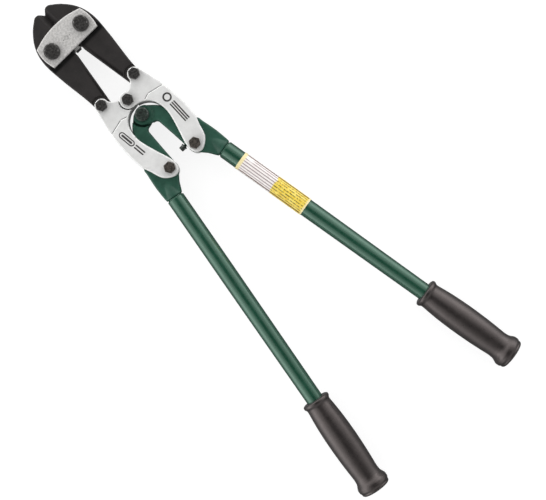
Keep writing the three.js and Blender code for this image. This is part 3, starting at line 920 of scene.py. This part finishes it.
JAW_BREAK = 0.5  # width of the small bevel on a jaw's edges
BLADE_REACH = 0.6  # what lies this near the centre line belongs to the cutting edge
BLADE_END = 1.7  # the cutting edge runs on this far behind the jaw's own pivot
BLADE_GAP = 0.05  # from each closed edge to the centre line
BLADE_LEAN = 0.12  # both edges lean the same way by this slope, so no light shows between them


def make_jaw(node, side, pivot):
    """A jaw whose cutting edge meets the other one on the centre line, as closed blades do."""
    piece = machined(node, JAW_BREAK)
    edge_end = centre_of(pivot).y - BLADE_END * MM
    middle = sum(heights(node)) / 2 * MM
    for vertex in piece.data.vertices:
        if vertex.co.y > edge_end and abs(vertex.co.x) < BLADE_REACH * MM:
            vertex.co.x = side * BLADE_GAP * MM + BLADE_LEAN * (vertex.co.z - middle)
    return piece


PLATE_BREAK = 0.3
CASTING_PASSES = 5  # rounds of smoothing on the links
FORGING_PASSES = 12  # and on the handles' heads
# A hexagon is measured across its flats. All other widths are radii, and a head's size is its height.
STRAP_BOLT = {"radius": 10.9, "chamfer": 1.9, "shank": 7, "head": 6.7}
STRAP_NUT = {"across": 20, "bore": 7.3}
PIVOT_BOLT = {"radius": 9.3, "chamfer": 1.6, "shank": 6, "head": 5.9}
PIVOT_WASHER = {"inner": 6.3, "outer": 9.8}
PIVOT_NUT = {"across": 18, "bore": 6.3}
HEX_BOLT = {"across": 14.3, "shank": 5, "head": 6.6}
HEX_WASHER = {"inner": 5.3, "outer": 8.6}
HEX_NUT = {"across": 15.5, "bore": 5.3}
LOCK_NUT = {"across": 8, "bore": 2.5}
TUBE = {"radius": 12.2, "end_radius": 11.6, "bore": 9.8, "straight": 132.9}


def build():
    """Replaces every CAD node with a finished piece of its own."""
    jaw_black = forged_black(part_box("strap_front")[0].y)
    silver = cast_silver()
    strap_grey = ground_steel()
    spacer_grey = plain_steel(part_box("centre_spacer")[1].z)
    oxide = black_oxide("black_oxide", (0.050, 0.048, 0.046), (0.19, 0.185, 0.18))
    brown_oxide = black_oxide("brown_oxide", (0.080, 0.070, 0.060), (0.24, 0.22, 0.20))
    dark_oxide = black_oxide("dark_oxide", (0.036, 0.050, 0.042), (0.11, 0.12, 0.115))
    green = painted_forging()
    enamel = gloss_paint()
    rubber = moulded_rubber()

    for strap in ("strap_front", "strap_back"):
        fit(machined(strap, PLATE_BREAK), strap, "head", strap_grey)
    fit(machined("centre_spacer", PLATE_BREAK), "centre_spacer", "head", spacer_grey)

    for side, word in SIDES:
        jaw, link, handle = f"jaw_{word}", f"link_{word}", f"handle_{word}"
        fit(make_jaw(jaw, side, f"strap_bolt_{word}"), jaw, jaw, jaw_black)
        fit(recast(link, CASTING_PASSES), link, link, silver)
        head = f"handle_head_{word}"
        fit(recast(head, FORGING_PASSES), head, handle, green)
        tube, grip = f"handle_tube_{word}", f"grip_{word}"
        fit(make_tube(tube, **TUBE), tube, handle, enamel)
        fit(make_grip(grip), grip, handle, rubber)

        bolt, nut = f"strap_bolt_{word}", f"strap_nut_{word}"
        fit(make_round_bolt(bolt, **STRAP_BOLT), bolt, "head", oxide)
        fit(make_nut(nut, **STRAP_NUT), nut, "head", oxide)
        fit_hex_set(f"jaw_tail_{word}", link, oxide)
        fit_hex_set(f"handle_link_{word}", link, brown_oxide)

    fit_hex_set("link_pivot", "link_right", oxide)
    fit_on_right(make_round_bolt("handle_pivot_bolt", **PIVOT_BOLT), "handle_pivot_bolt", dark_oxide)
    fit_on_right(make_washer("handle_pivot_washer", **PIVOT_WASHER), "handle_pivot_washer", dark_oxide)
    fit_on_right(make_nut("handle_pivot_nut", **PIVOT_NUT), "handle_pivot_nut", oxide)
    fit(make_label("label_sleeve"), "label_sleeve", "handle_right", printed_film())
    fit_on_right(make_stop_screw("stop_screw"), "stop_screw", dark_oxide)
    place, length = lying("stop_lock_nut")
    lock_nut = make_nut("stop_lock_nut", **LOCK_NUT, place=place, span=(0, length))
    fit_on_right(lock_nut, "stop_lock_nut", dark_oxide)


def fit_on_right(piece, node, material):
    """Puts a fastener on the right handle."""
    fit(piece, node, "handle_right", material)


def fit_hex_set(group, body, material):
    """A hexagon bolt with its washer and nut."""
    bolt, washer, nut = group + "_bolt", group + "_washer", group + "_nut"
    fit(make_hex_bolt(bolt, **HEX_BOLT), bolt, body, material)
    fit(make_washer(washer, **HEX_WASHER), washer, body, material)
    fit(make_nut(nut, **HEX_NUT), nut, body, material)


make_camera()
make_studio()
make_floor()
build()
make_marks()
